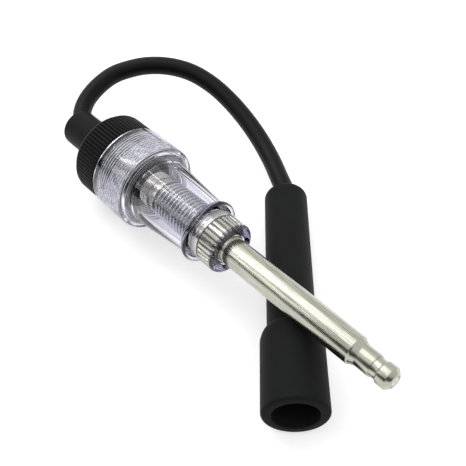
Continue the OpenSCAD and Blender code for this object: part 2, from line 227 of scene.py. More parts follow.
def arc(r, z, radius, start, end, count=6):
    """Points (radius, station) on part of a circle, with angles in degrees."""
    step = math.radians(end - start) / count
    first = math.radians(start)
    angles = [first + step * i for i in range(count + 1)]
    return [(r + radius * math.cos(a), z + radius * math.sin(a)) for a in angles]


def softened(profile, radius, count=3):
    """The profile with each corner rounded by a short curve of about this radius."""
    out = []
    last = len(profile) - 1
    for i, point in enumerate(profile):
        here = Vector(point)
        before = Vector(profile[max(i - 1, 0)])
        after = Vector(profile[min(i + 1, last)])
        cut_a = min(radius, (before - here).length * 0.45)
        cut_b = min(radius, (after - here).length * 0.45)
        straight = cut_a < 1e-6 or cut_b < 1e-6
        if straight or abs((here - before).normalized().dot((after - here).normalized())) > 0.995:
            out.append(tuple(here))
            continue
        a = here + (before - here).normalized() * cut_a
        b = here + (after - here).normalized() * cut_b
        for k in range(count + 1):
            t = k / count
            out.append(tuple(a * (1 - t) ** 2 + here * 2 * t * (1 - t) + b * t ** 2))
    return out


def lathe(name, profile, steps=96):
    """Extrude a profile of (radius, station) points from one vertex and spin it round Z."""
    deselect()
    bpy.ops.mesh.primitive_plane_add(size=MM, location=(0, 0, 0))
    piece = bpy.context.object
    piece.name = name
    bpy.ops.object.mode_set(mode="EDIT")
    bpy.ops.mesh.select_all(action="SELECT")
    bpy.ops.mesh.merge(type="CENTER")
    at = Vector((0, 0, 0))
    for i, (r, z) in enumerate(profile):
        point = Vector((max(r, 0), 0, z))
        if i == 0:
            bpy.ops.transform.translate(value=point)
        else:
            bpy.ops.mesh.extrude_region_move(TRANSFORM_OT_translate={"value": point - at})
        at = point
    bpy.ops.mesh.select_all(action="SELECT")
    bpy.ops.mesh.remove_doubles(threshold=1e-7)
    bpy.ops.mesh.spin(steps=steps, angle=FULL_TURN, center=(0, 0, 0), axis=(0, 0, 1))
    bpy.ops.mesh.select_all(action="SELECT")
    bpy.ops.mesh.remove_doubles(threshold=1e-6)
    bpy.ops.mesh.normals_make_consistent(inside=False)
    bpy.ops.object.mode_set(mode="OBJECT")
    return piece


def in_mm(profile):
    """A profile written in millimetres, in metres."""
    return [(r * MM, z * MM) for r, z in profile]


def select_where(piece, test):
    """Select in edit mode the vertices whose place passes the test."""
    bpy.ops.object.mode_set(mode="OBJECT")
    for v in piece.data.vertices:
        v.select = test(v.co)
    for e in piece.data.edges:
        e.select = False
    for f in piece.data.polygons:
        f.select = False
    bpy.ops.object.mode_set(mode="EDIT")
    bpy.ops.mesh.select_mode(type="VERT")


def flute(piece, ribs, low, high, least_r, scale, width=0.2):
    """Draw every valley between ribs towards the axis; width is half a valley's share of a rib."""
    def in_valley(co):
        if not (low < co.z < high and math.hypot(co.x, co.y) > least_r):
            return False
        share = (math.atan2(co.y, co.x) / FULL_TURN * ribs) % 1.0
        return abs(share - 0.5) < width

    select_where(piece, in_valley)
    bpy.ops.transform.resize(value=(scale, scale, 1), center_override=(0, 0, 0))
    bpy.ops.object.mode_set(mode="OBJECT")


def finish_piece(piece, place, body, node, material, angle=32):
    """Put a modelled piece in its place and tie it to the frame."""
    deselect()
    piece.select_set(True)
    bpy.context.view_layer.objects.active = piece
    bpy.ops.object.shade_smooth_by_angle(angle=math.radians(angle))
    piece.matrix_world = place
    bpy.ops.object.transform_apply(location=True, rotation=True, scale=True)
    if material:
        piece.data.materials.clear()
        piece.data.materials.append(material)
    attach(piece, body)
    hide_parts(node)


# Shader helpers and shared effects

def set_inputs(n, inputs):
    """Set a node's inputs by name, with spaces written as underscores."""
    for key, value in inputs.items():
        n.inputs[key.replace("_", " ")].default_value = value


def add_node(tree, kind, **inputs):
    """A node with some of its inputs set."""
    n = tree.nodes.new(kind)
    set_inputs(n, inputs)
    return n


def along(tree, vector, direction):
    """How far a vector reaches along a direction."""
    n = tree.nodes.new("ShaderNodeVectorMath")
    n.operation = "DOT_PRODUCT"
    n.inputs[1].default_value = direction
    tree.links.new(vector, n.inputs[0])
    return n.outputs["Value"]


def math_result(tree, operation, *values):
    """The result of one Math node on linked values."""
    n = tree.nodes.new("ShaderNodeMath")
    n.operation = operation
    for k, value in enumerate(values):
        tree.links.new(value, n.inputs[k])
    return n.outputs["Value"]


def squared(tree, value):
    """A value times itself."""
    return math_result(tree, "MULTIPLY", value, value)


def ranged(tree, value, low, high, start=0.0, end=1.0):
    """A value between start and end spread from low to high."""
    n = add_node(tree, "ShaderNodeMapRange", From_Min=start, From_Max=end, To_Min=low, To_Max=high)
    tree.links.new(value, n.inputs["Value"])
    return n.outputs["Result"]


def mixed(tree, mask, first, second):
    """A colour between two colours, each written or linked, by a mask."""
    mix = tree.nodes.new("ShaderNodeMix")
    mix.data_type = "RGBA"
    tree.links.new(mask, mix.inputs["Factor"])
    for label, tone in (("A", first), ("B", second)):
        if isinstance(tone, bpy.types.NodeSocket):
            tree.links.new(tone, mix.inputs[label])
        else:
            mix.inputs[label].default_value = tone
    return mix.outputs["Result"]


def base_material(name):
    """A new material, its tree and its Principled shader."""
    material = bpy.data.materials.new(name)
    material.use_nodes = True
    tree = material.node_tree
    return material, tree, tree.nodes["Principled BSDF"]


def bumped(tree, shader, height, strength, distance):
    """Feed a height to the shader's normal."""
    bump = add_node(tree, "ShaderNodeBump", Strength=strength, Distance=distance)
    tree.links.new(height, bump.inputs["Height"])
    tree.links.new(bump.outputs["Normal"], shader.inputs["Normal"])


def shade(tone, factor):
    """A colour made darker or lighter."""
    return (*(min(1.0, c * factor) for c in tone[:3]), 1.0)


def placed_group(tree, group, **inputs):
    """A shared effect placed in a material, with some of its inputs set."""
    n = tree.nodes.new("ShaderNodeGroup")
    n.node_tree = group
    set_inputs(n, inputs)
    return n


def make_group(name, inputs, outputs):
    """An empty shader node group with float inputs and outputs."""
    tree = bpy.data.node_groups.new(name, "ShaderNodeTree")
    for label, default in inputs:
        socket = tree.interface.new_socket(label, in_out="INPUT", socket_type="NodeSocketFloat")
        socket.default_value = default
    for label in outputs:
        tree.interface.new_socket(label, in_out="OUTPUT", socket_type="NodeSocketFloat")
    return tree, tree.nodes.new("NodeGroupInput"), tree.nodes.new("NodeGroupOutput")


def grain_group():
    """Fine moulded or rubbed grain: a height, and a slow mottle between 0 and 1."""
    if "Moulded grain" in bpy.data.node_groups:
        return bpy.data.node_groups["Moulded grain"]
    tree, given, result = make_group("Moulded grain", [("Fineness", 2500.0), ("Mottle size", 180.0)],
                                     ["Height", "Mottle"])
    place = tree.nodes.new("ShaderNodeTexCoord")
    fine = add_node(tree, "ShaderNodeTexNoise", Detail=4.0, Roughness=0.6)
    slow = add_node(tree, "ShaderNodeTexNoise", Detail=3.0, Roughness=0.55)
    for noise, fineness in ((fine, "Fineness"), (slow, "Mottle size")):
        tree.links.new(place.outputs["Object"], noise.inputs["Vector"])
        tree.links.new(given.outputs[fineness], noise.inputs["Scale"])
    tree.links.new(fine.outputs["Fac"], result.inputs["Height"])
    tree.links.new(slow.outputs["Fac"], result.inputs["Mottle"])
    return tree


def axis_marks_group():
    """Marks round the barrel axis: rings from a lathe, and lines along the axis from drawing."""
    if "Axis marks" in bpy.data.node_groups:
        return bpy.data.node_groups["Axis marks"]
    fineness = [("Ring fineness", 9000.0), ("Line fineness", 26.0), ("Line length", 110.0)]
    tree, given, result = make_group("Axis marks", fineness, ["Rings", "Lines"])
    place = tree.nodes.new("ShaderNodeTexCoord")
    local = add_node(tree, "ShaderNodeMapping", Location=tuple(-c for c in BARREL.translation))
    tree.links.new(place.outputs["Object"], local.inputs["Vector"])
    parts = [along(tree, local.outputs["Vector"], BARREL.col[k].to_3d()) for k in range(3)]
    angle = math_result(tree, "ARCTAN2", parts[1], parts[0])
    across = math_result(tree, "ADD", squared(tree, parts[0]), squared(tree, parts[1]))
    outwards = math_result(tree, "ADD", parts[2], math_result(tree, "SQRT", across))
    ring_at = math_result(tree, "MULTIPLY", outwards, given.outputs["Ring fineness"])
    rings = add_node(tree, "ShaderNodeTexNoise", Scale=1.0, Detail=5.0, Roughness=0.7)
    rings.noise_dimensions = "1D"
    tree.links.new(ring_at, rings.inputs["W"])
    line_at = tree.nodes.new("ShaderNodeCombineXYZ")
    for value, scale, socket in ((angle, "Line fineness", "X"), (parts[2], "Line length", "Y")):
        scaled = math_result(tree, "MULTIPLY", value, given.outputs[scale])
        tree.links.new(scaled, line_at.inputs[socket])
    lines = add_node(tree, "ShaderNodeTexNoise", Scale=1.0, Detail=4.0, Roughness=0.65)
    tree.links.new(line_at.outputs["Vector"], lines.inputs["Vector"])
    for noise, label in ((rings, "Rings"), (lines, "Lines")):
        tree.links.new(ranged(tree, noise.outputs["Fac"], 0.0, 1.0, 0.3, 0.65), result.inputs[label])
    return tree


def moulded_material(name, tone, rough, fineness, bump, shine):
    """Moulded plastic or rubber with fine grain and a slow mottle of its sheen."""
    material, tree, shader = base_material(name)
    shader.inputs["Specular IOR Level"].default_value = shine
    grain = placed_group(tree, grain_group(), Fineness=fineness)
    colours = mixed(tree, grain.outputs["Mottle"], shade(tone, 0.8), shade(tone, 1.25))
    tree.links.new(colours, shader.inputs["Base Color"])
    tree.links.new(ranged(tree, grain.outputs["Mottle"], *rough), shader.inputs["Roughness"])
    bumped(tree, shader, grain.outputs["Height"], bump, 0.05 * MM)
    return material


def metal_material(name, tone, rough, marks_used, bump, contrast=0.15, rings=9000.0):
    """Plated metal with rings or lines left by its making and a slow change of roughness."""
    material, tree, shader = base_material(name)
    shader.inputs["Metallic"].default_value = 1.0
    marks = placed_group(tree, axis_marks_group(), Ring_fineness=rings)
    grain = placed_group(tree, grain_group())
    colours = mixed(tree, marks.outputs[marks_used], shade(tone, 1 - contrast), shade(tone, 1 + contrast))
    tree.links.new(colours, shader.inputs["Base Color"])
    tree.links.new(ranged(tree, grain.outputs["Mottle"], *rough), shader.inputs["Roughness"])
    bumped(tree, shader, marks.outputs[marks_used], bump, 0.02 * MM)
    return material


def clear_material(name, tone, ior, rough, through=1.0, edge=None):
    """Clear plastic or glass with faint flow marks; edge is its painted shade tone where the eye looks along
    it.
    """
    material, tree, shader = base_material(name)
    shader.inputs["Transmission Weight"].default_value = through
    shader.inputs["IOR"].default_value = ior
    grain = placed_group(tree, grain_group(), Fineness=300.0)
    colours = mixed(tree, grain.outputs["Mottle"], shade(tone, 0.98), shade(tone, 1.0))
    if edge:
        # Painted shade at grazing angles: partly the tint of a longer path through the wall, partly dark
        # reflections in the plastic
        facing = add_node(tree, "ShaderNodeLayerWeight", Blend=0.5)
        grazing = ranged(tree, facing.outputs["Facing"], 0.0, 1.0, 0.55)
        colours = mixed(tree, grazing, colours, edge)
    tree.links.new(colours, shader.inputs["Base Color"])
    sheen = ranged(tree, grain.outputs["Mottle"], rough * 0.5, rough * 1.5)
    tree.links.new(sheen, shader.inputs["Roughness"])
    bumped(tree, shader, grain.outputs["Height"], 0.04, 0.05 * MM)
    return material


def finish_of(name):
    """The material of that name, made when it is first asked for."""
    if name in bpy.data.materials:
        return bpy.data.materials[name]
    nickel = colour("nickel")
    makers = {
        "Cap plastic": lambda: moulded_material(name, colour("cap"), (0.4, 0.55), 1800, 0.25, 0.06),
        "Lead rubber": lambda: moulded_material(name, colour("lead"), (0.36, 0.5), 900, 0.2, 0.15),
        "Boot rubber": lambda: moulded_material(name, colour("boot"), (0.5, 0.66), 1500, 0.4, 0.05),
        # Painted shade at grazing angles
        "Clear plastic": lambda: clear_material(name, colour("clear"), 1.5, 0.02, edge=GRAZING_SHADE_TONE),
        # Painted shade on the thick rims
        "Clear rim shade": lambda: clear_material(name, RIM_SHADE_TONE, 1.5, 0.02),
        # Pale frost painted as highlights
        "Frosted thread highlight": lambda: clear_material(name, FROST_HIGHLIGHT_TONE, 1.5, 0.35, 0.15),
        # Darker nickel painted as shade in the gaps and the recess
        "Nickel painted shade": lambda: metal_material(name, shade(nickel, 0.28), (0.4, 0.55), "Rings", 0.3),
        "Lamp glass": lambda: clear_material(name, GLASS_TONE, 1.46, 0.01),
        "Nickel rod": lambda: metal_material(name, nickel, (0.16, 0.26), "Lines", 0.35, 0.5),
        "Turned nickel": lambda: metal_material(name, nickel, (0.25, 0.4), "Rings", 1.0, 0.8, 1000.0),
        "Nickel plate": lambda: metal_material(name, shade(nickel, 1.35), (0.1, 0.2), "Rings", 0.15),
        "Zinc wire": lambda: metal_material(name, colour("zinc"), (0.2, 0.34), "Rings", 0.1),
        "Brass": lambda: metal_material(name, colour("brass"), (0.16, 0.3), "Rings", 0.15),
        "Copper": lambda: metal_material(name, colour("copper"), (0.25, 0.4), "Rings", 0.2),
    }
    return makers[name]()


# Pieces

def smooth_route(points, steps):
    """Even points of a smooth curve through the route's points."""
    q = [Vector(p) * MM for p in points]
    out = []
    for i in range(len(q) - 1):
        a, b, c, d = q[max(i - 1, 0)], q[i], q[i + 1], q[min(i + 2, len(q) - 1)]
        for k in range(steps):
            t = k / steps
            out.append(0.5 * (2 * b + (c - a) * t + (2 * a - 5 * b + 4 * c - d) * t ** 2
                              + (3 * b - a - 3 * c + d) * t ** 3))
    return out + [q[-1]]


def model_lead():
    """The plug lead as one bevelled curve along its route."""
    deselect()
    bpy.ops.curve.primitive_nurbs_path_add()
    lead = bpy.context.object
    lead.name = "plug_lead"
    path = smooth_route(LEAD_ROUTE, 6)
    lead.data.splines.clear()
    spline = lead.data.splines.new("POLY")
    spline.points.add(len(path) - 1)
    for point, at in zip(spline.points, path):
        point.co = (*at, 1)
    spline.use_smooth = True
    lead.data.dimensions = "3D"
    lead.data.bevel_depth = sizes().lead_r
    lead.data.bevel_resolution = 8
    lead.data.use_fill_caps = True
    lead.location = (0, 0, 0)
    lead.data.materials.append(finish_of("Lead rubber"))
    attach(lead, "cap_end")
    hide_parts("lead")
    on_lead = [frame["nodes"][n] for n in ("plug_clip", "clip_ring", "boot_core")]
    on_lead.append(bpy.data.objects["rubber_boot"])


def boot_profile():
    """Outline of the boot and of the hole through it."""
    top_r, neck_r, step_r, mouth_end_r = 6.25, 6.5, 8.4, 8.7
    top_round, mouth_round, lip_round = 2.2, 1.0, 0.35
    hole_r = sizes().mouth_r / MM
    lead_hole = sizes().lead_r / MM + 0.15
    chamber_r, step_run, chamfer = 5.6, 0.6, 0.3
    step_end, step_rise = BOOT_STEP + BOOT_STEP_LEN, step_r - neck_r
    quarter = [math.radians(a) for a in range(9, 91, 9)]
    step = [(neck_r + step_rise * math.sin(a), step_end - BOOT_STEP_LEN * math.cos(a)) for a in quarter]
    outside = arc(top_r - top_round, top_round, top_round, -90, 0, 8)
    outside += [(neck_r, BOOT_STEP - step_run)] + step
    outside += arc(mouth_end_r - mouth_round, BOOT_LEN - mouth_round, mouth_round, 0, 70, 6)
    lip = arc(hole_r + lip_round, BOOT_LEN - lip_round, lip_round, 80, 180, 5)
    inside = [(hole_r, MOUTH_FLOOR), (chamber_r, MOUTH_FLOOR)]
    inside += [(chamber_r, CLIP_BACK), (lead_hole, CLIP_BACK)]
    inside += [(lead_hole, chamfer), (lead_hole + chamfer, 0), (top_r - top_round, 0)]
    return in_mm(outside + lip + inside)


def model_boot():
    """The rubber boot, turned with its mouth, with a faint mould line on both sides."""
    boot = lathe("rubber_boot", boot_profile(), 128)
    inner_r, line_start, line_end, stand_out = 6.1, 3, 72, 1.012

    def on_mould_line(co):
        at_side = abs(co.x) < 0.05 * MM and math.hypot(co.x, co.y) > inner_r * MM
        return at_side and line_start * MM < co.z < line_end * MM

    select_where(boot, on_mould_line)
    bpy.ops.transform.resize(value=(1, stand_out, 1), center_override=(0, 0, 0))
    bpy.ops.object.mode_set(mode="OBJECT")
    finish_piece(boot, BOOT, "cap_end", "boot", finish_of("Boot rubber"), 40)


def thread_profile(crest, root, start, turns, pitch, flat=0.1):
    """Ring grooves of a thread along a wall, with small flats on their crests and roots."""
    near, rise = NEAR_CREST, 0.5 - 2 * flat
    shelf = crest + near * (root - crest)
    out = []
    for i in range(turns):
        z = start + i * pitch
        first, last = z + flat * pitch, z + (1 - flat) * pitch
        out += [(crest, first), (shelf, first + near * rise * pitch), (root, z + (0.5 - flat) * pitch)]
        out += [(root, z + (0.5 + flat) * pitch), (shelf, last - near * rise * pitch), (crest, last)]
    return [(crest, start)] + out + [(crest, start + turns * pitch)]


def thread_radii():
    """Crest and root of the collar's thread, then root and crest of the spigot's."""
    s = sizes()
    wall, play = 1.0, 0.3
    depth = s.thread_depth / MM
    root = s.collar_r / MM - wall
    crest = root - depth
    return crest, root, crest - play - depth, crest - play


def cap_profile():
    """Outline of the cap from its neck to its spigot, and back along its bore."""
    s = sizes()
    grip, neck = s.cap_r / MM, s.neck_r / MM
    neck_round, fillet, back_round = 1.0, 1.2, 1.8
    flare_r, flare_len, pocket_len, spigot_bore = 4.5, 7.0, 4.5, 8.0
    face, edge, chamfer, thread_start, thread_room = -0.15, 0.1, 0.2, 0.6, 0.9
    pitch = s.thread_pitch / MM
    valley, ridge = thread_radii()[2:]
    back_r, back_end = grip - s.rib_depth / MM - edge, CAP_BACK + back_round
    outside = arc(neck - neck_round, NECK_END + neck_round, neck_round, -90, 0, 6)
    outside += [(neck, CAP_BACK - fillet)] + arc(neck + fillet, CAP_BACK - fillet, fillet, 180, 90, 4)
    outside += arc(back_r - back_round, back_end, back_round, -90, -12, 8)
    outside += [(grip - edge, back_end + edge), (grip, back_end + 0.5)]
    outside += [(grip, -0.5), (grip - 0.3, face), (valley, face)]
    outside += thread_profile(valley, ridge, thread_start, int((SPIGOT_END - thread_room) / pitch), pitch)
    outside += [(valley, SPIGOT_END - edge), (valley - chamfer, SPIGOT_END)]
    outside += [(spigot_bore + chamfer, SPIGOT_END), (spigot_bore, SPIGOT_END - chamfer)]
    outside += [(spigot_bore, CAP_FLOOR)]
    bore = s.lead_r / MM + 0.1
    pocket = bore + 0.8
    inside = [(pocket, CAP_FLOOR), (pocket, CAP_FLOOR - pocket_len), (bore, CAP_FLOOR - pocket_len)]
    inside += [(bore, NECK_END + flare_len), (flare_r - edge, NECK_END + 0.3), (flare_r, NECK_END)]
    return in_mm(outside + inside + [(neck - neck_round, NECK_END)])


def model_cap():
    """The ribbed screw cap with its neck and threaded spigot."""
    s = sizes()
    cap = lathe("screw_cap_body", cap_profile(), s.cap_ribs * 4)
    scale = 1 - s.rib_depth / s.cap_r
    flute(cap, s.cap_ribs, (CAP_BACK + 2.2) * MM, -0.4 * MM, s.cap_r - 0.05 * MM, scale)
    finish_piece(cap, BARREL, "cap_end", "screw_cap", finish_of("Cap plastic"), 30)


def shoulder_rings():
    """Radii of the rings on the inner side of the shoulder, from the barrel's bore to the thread."""
    first = (sizes().barrel_r - sizes().barrel_wall) / MM + 0.3
    last = thread_radii()[0] - 0.2
    count = 7
    return [first + (last - first) * k / count for k in range(count + 1)]


def clear_profile():
    """Outline of the clear body, moulded round the bush, and of the hollow inside it."""
    s = sizes()
    collar, wide, slim = s.collar_r / MM, s.barrel_r / MM, s.barrel_tip_r / MM
    wall = s.barrel_wall / MM
    flange_r, end_r, recess_r = 9.4, 7.5, 4.7
    seat, rim = COLLAR_SEAT, 0.35
    collar_round = 0.55 * (collar - wide)
    flange_round, end_round, recess_round, root_round = 0.77, 0.9, 0.15, 0.5
    crest, root = thread_radii()[:2]
    outside = arc(collar - rim, seat + rim, rim, -90, 0, 4)
    outside += arc(collar - collar_round, COLLAR_END - collar_round, collar_round, 0, 90, 8)
    outside += arc(wide + root_round, COLLAR_END + root_round, root_round, 270, 180, 4)
    flange_in = flange_r - flange_round
    outside += [(slim, BARREL_END)]
    outside += arc(flange_in, BARREL_END + flange_round, flange_round, -90, 0, 5)
    outside += arc(flange_in, FLANGE_END - flange_round, flange_round, 0, 90, 5)
    outside += [(end_r, FLANGE_END)]
    outside += arc(end_r - end_round, FACE - end_round, end_round, 0, 90, 6)
    outside += arc(recess_r + recess_round, FACE - recess_round, recess_round, 90, 180, 3)
    bush, band = s.bush_r / MM - 0.5, 5.9
    inside = [(bush, KNURL_BACK - 0.1), (band, KNURL_BACK - 0.1)]
    inside += [(band, BAND_BACK - 0.4), (slim - wall, BAND_BACK - 0.4), (wide - wall, COLLAR_END)]
    shoulder = COLLAR_END - SHOULDER_WALL
    inside += [(wide - wall, shoulder + 0.3)]
    inside += [(r, shoulder + RING_HEIGHT * (k % 2)) for k, r in enumerate(shoulder_rings())]
    inside += thread_profile(crest, root, THREAD_START, s.thread_turns, s.thread_pitch / MM)[::-1]
    return in_mm(outside + inside + [(crest, seat + 0.3), (crest + 0.3, seat), (collar - rim, seat)])


def add_finish(piece, material, test):
    """Give a second finish to the faces whose centre, before placing, passes the test."""
    piece.data.materials.append(material)
    slot = len(piece.data.materials) - 1
    for face in piece.data.polygons:
        if test(face.center, face.normal):
            face.material_index = slot


def model_clear_body():
    """The clear body: threaded collar, tapered barrel, flange and end collar in one wall."""
    body = lathe("clear_barrel", clear_profile(), 160)
    crest, root = thread_radii()[:2]
    frosted_to = crest + NEAR_CREST * (root - crest)
    thread_end = COLLAR_END - 1.5
    shoulder = COLLAR_END - SHOULDER_WALL
    rings = shoulder_rings()
    flange_rim, recess_rim, face_depth = 8.9, 4.75, 0.7

    # Painted highlight: the thread's crests and the shoulder's rings take a pale frosted finish that stands
    # in for their bright lines
    def frosted_highlight(at, normal):
        r, z = math.hypot(at.x, at.y) / MM, at.z / MM
        on_crest = crest - 0.01 < r < frosted_to and THREAD_START < z < thread_end
        on_ring = any(inner < r < outer for inner, outer in zip(rings[::2], rings[1::2]))
        return on_crest or abs(z - shoulder) < 0.2 and on_ring

    # Painted shade: the flange's outer edge and the end collar's front take a navy tone, partly the tint of
    # thick plastic, partly dark reflections
    def on_shaded_rim(at, normal):
        r, z = math.hypot(at.x, at.y) / MM, at.z / MM
        on_flange = r > flange_rim and BARREL_END < z < FLANGE_END
        return on_flange or z > FACE - face_depth and r > recess_rim

    body.data.materials.append(finish_of("Clear plastic"))
    add_finish(body, finish_of("Frosted thread highlight"), frosted_highlight)
    add_finish(body, finish_of("Clear rim shade"), on_shaded_rim)
    finish_piece(body, BARREL, "barrel", "clear_body", None, 35)


def model_spring():
    """The contact spring: a wire circle wound up by a screw, with straight ends."""
    s = sizes()
    low = (TERMINAL_FACE + 0.1) * MM + 2 * s.wire_r
    high = (BAND_BACK - 0.1) * MM - 2 * s.wire_r
    deselect()
    bpy.ops.mesh.primitive_circle_add(vertices=12, radius=s.wire_r, location=(s.spring_r, 0, low),
                                      rotation=(math.pi / 2, 0, 0))
    spring = bpy.context.object
    spring.name = "zinc_spring"
    bpy.ops.object.transform_apply(location=True, rotation=True, scale=True)
    wind = spring.modifiers.new("Wind", "SCREW")
    wind.axis = "Z"
    wind.angle = FULL_TURN
    wind.screw_offset = (high - low) / s.curls
    wind.iterations = s.curls
    wind.steps = 40
    wind.render_steps = 40
    bpy.ops.object.modifier_apply(modifier=wind.name)
    bpy.ops.object.mode_set(mode="EDIT")
    bpy.ops.mesh.select_all(action="SELECT")
    bpy.ops.mesh.fill_holes(sides=12)
    bpy.ops.mesh.normals_make_consistent(inside=False)
    bpy.ops.object.mode_set(mode="OBJECT")
    ends = [add_wire_end(s, low - s.wire_r), add_wire_end(s, high + s.wire_r)]
    for end in ends:
        end.select_set(True)
    spring.select_set(True)
    bpy.context.view_layer.objects.active = spring
    bpy.ops.object.join()
    finish_piece(spring, BARREL, "lamp_stack", "contact_spring", finish_of("Zinc wire"), 40)


def add_wire_end(s, middle):
    """A short straight end of the spring wire, with its rim rounded."""
    deselect()
    bpy.ops.mesh.primitive_cylinder_add(vertices=12, radius=s.wire_r, depth=2 * s.wire_r,
                                        location=(s.spring_r, 0, middle))
    end = bpy.context.object
    bpy.ops.object.transform_apply(location=True, rotation=True, scale=True)
    bpy.ops.object.mode_set(mode="EDIT")
    bpy.ops.mesh.select_all(action="SELECT")
    bpy.ops.mesh.bevel(offset=s.wire_r * 0.25, segments=2, affect="EDGES")
    bpy.ops.object.mode_set(mode="OBJECT")
    return end


def model_terminal():
    """The brass terminal with its ringed head, which the spring presses on."""
    head_r, groove, rings, ring_len = 5.6, 0.3, 4, 0.8
    stem_r, disc_r, disc_end = 3.2, 7.9, CAP_FLOOR + 1.2
    nose_r = (sizes().spring_r - 2 * sizes().wire_r) / MM
    slope = 0.3 * ring_len
    profile = [(0, CAP_FLOOR), (disc_r, CAP_FLOOR), (disc_r, disc_end), (stem_r, disc_end)]
    profile += [(stem_r, TERMINAL_BACK)]
    for i in range(rings + 1):
        start = TERMINAL_BACK + i * ring_len
        end = start + ring_len - slope if i < rings else TERMINAL_FACE
        profile += [(head_r - groove, start), (head_r, start + slope), (head_r, end)]
    profile += [(nose_r, TERMINAL_FACE), (nose_r, NOSE_END), (0, NOSE_END)]
    terminal = lathe("brass_terminal", softened(in_mm(profile), 0.15 * MM), 96)
    finish_piece(terminal, BARREL, "cap_end", "cap_terminal", finish_of("Brass"))


def capsule(r, low, high, rounding, count):
    """Outline of a round-ended bulb between two stations."""
    lower = arc(r - rounding, low + rounding, rounding, -90, 0, count)
    upper = arc(r - rounding, high - rounding, rounding, 0, 90, count)
    return in_mm([(0, low)] + lower + upper + [(0, high)])


def model_lamp():
    """The neon lamp: a thin glass bulb and the two electrodes that hold it."""
    r = sizes().lamp_r / MM
    middle = (NOSE_END + BAND_BACK) / 2
    half, wall, end_wall, overlap = 5.5, 0.5, 1.0, 1.6
    low, high = middle - half, middle + half
    glass = lathe("lamp_bulb", capsule(r, low, high, 1.6, 6), 64)
    void = lathe("lamp_hollow", capsule(r - wall, low + end_wall, high - end_wall, 1.2, 5), 64)
    bpy.ops.object.mode_set(mode="EDIT")
    bpy.ops.mesh.select_all(action="SELECT")
    bpy.ops.mesh.flip_normals()
    bpy.ops.object.mode_set(mode="OBJECT")
    deselect()
    void.select_set(True)
    glass.select_set(True)
    bpy.context.view_layer.objects.active = glass
    bpy.ops.object.join()
    finish_piece(glass, BARREL, "lamp_stack", "lamp_glass", finish_of("Lamp glass"))
    side, electrode_r = 0.32 * r, 0.35
    spans = (("rear_electrode", side, NOSE_END + 0.1, middle + overlap),
             ("front_electrode", -side, middle - overlap, BAND_BACK - 0.1))
    for node, shift, start, end in spans:
        profile = in_mm([(0, start), (electrode_r, start), (electrode_r, end), (0, end)])
        profile = softened(profile, 0.15 * MM)
        wire = lathe("lamp_" + node, profile, 24)
        place = BARREL @ Matrix.Translation((shift * MM, 0, 0))
        finish_piece(wire, place, "lamp_stack", node, finish_of("Nickel plate"))


def model_bush():
    """The knurled bush in the end collar, with its smooth band and a blind hole for the rod."""
    s = sizes()
    bush_r, band_r, hole_r, knurl_depth = s.bush_r / MM, 6.0, 3.03, 0.35
    hole_back = KNURL_BACK - 1.6
    lip_r, lip_front, tooth = 4.3, BUSH_FACE + 0.6, 0.2
    lip_bore = s.rod_r / MM + 0.05
    profile = [(0, BAND_BACK), (band_r, BAND_BACK), (band_r, KNURL_BACK)]
    profile += [(bush_r, KNURL_BACK), (bush_r, BUSH_FACE)]
    profile += [(lip_r, BUSH_FACE), (lip_r, lip_front), (lip_bore, lip_front), (lip_bore, BUSH_FACE)]
    profile += [(hole_r, BUSH_FACE), (hole_r, hole_back), (0, hole_back)]
    bush = lathe("nickel_bush", softened(in_mm(profile), 0.08 * MM), s.knurls * 8)
    valley, gap = 1 - knurl_depth / bush_r, 1 - tooth / lip_r
    knurl_span = ((KNURL_BACK + 0.1) * MM, (BUSH_FACE + 0.01) * MM)
    lip_span = ((BUSH_FACE + 0.1) * MM, FACE * MM)
    flute(bush, s.knurls, *knurl_span, s.bush_r - 0.2 * MM, valley, 0.13)
    flute(bush, s.knurls * 2, *lip_span, (lip_r - 0.1) * MM, gap, 0.3)

    # Painted shade: the knurl's valley floors and the bush's front face take a darker nickel, standing in
    # for shade in the gaps and the recess
    def on_painted_shade(at, normal):
        r, z = math.hypot(at.x, at.y) / MM, at.z / MM
        in_gap = r < bush_r - 0.15 and KNURL_BACK < z < BUSH_FACE
        return in_gap or normal.z > 0.7 and z > BUSH_FACE - 0.3

    bush.data.materials.append(finish_of("Nickel plate"))
    add_finish(bush, finish_of("Nickel painted shade"), on_painted_shade)
    finish_piece(bush, BARREL, "barrel", "knurled_bush", None)


def model_rod():
    """The nickel rod with its shank, shoulder and stepped terminal end."""
    s = sizes()
    rod, tip = s.rod_r / MM, s.tip_r / MM
    shank_r, waist_r, chamfer, head_chamfer, edge, dimple = 3.0, 2.75, 0.3, 1.1, 0.2, 0.15
    neck = tip - 0.1
    shank_back, rod_back = KNURL_BACK - 1.4, BUSH_FACE + 0.1
    profile = [(0, shank_back), (shank_r, shank_back), (shank_r, rod_back), (rod, rod_back)]
    profile += [(rod, ROD_SHOULDER - chamfer), (rod - chamfer, ROD_SHOULDER)]
    profile += [(neck, CONE_END), (neck, NECK_FRONT)]
    profile += [(waist_r, NECK_FRONT), (waist_r, WAIST_FRONT - edge), (tip, WAIST_FRONT + edge)]
    profile += [(tip, TIP_END - head_chamfer)]
    profile += [(tip - head_chamfer, TIP_END), (0.5, TIP_END), (0, TIP_END - dimple)]
    piece = lathe("nickel_rod", softened(in_mm(profile), 0.06 * MM), 128)

    def on_end(at, normal):
        return normal.z > 0.8 and at.z > (TIP_END - 0.3) * MM

    piece.data.materials.append(finish_of("Nickel rod"))
    add_finish(piece, finish_of("Turned nickel"), on_end)
    finish_piece(piece, BARREL, "barrel", "probe_rod", None)


def dress_hidden_metal():
    """Give the carried-over inner pieces their metal finishes."""
    finishes = {"lead_ferrule": "Zinc wire", "clip_ring": "Zinc wire", "plug_clip": "Brass",
                "cap_core": "Copper", "boot_core": "Copper"}
    for node, finish in finishes.items():
        held = frame["nodes"][node].data.materials
        held.clear()
        held.append(finish_of(finish))


# Stage

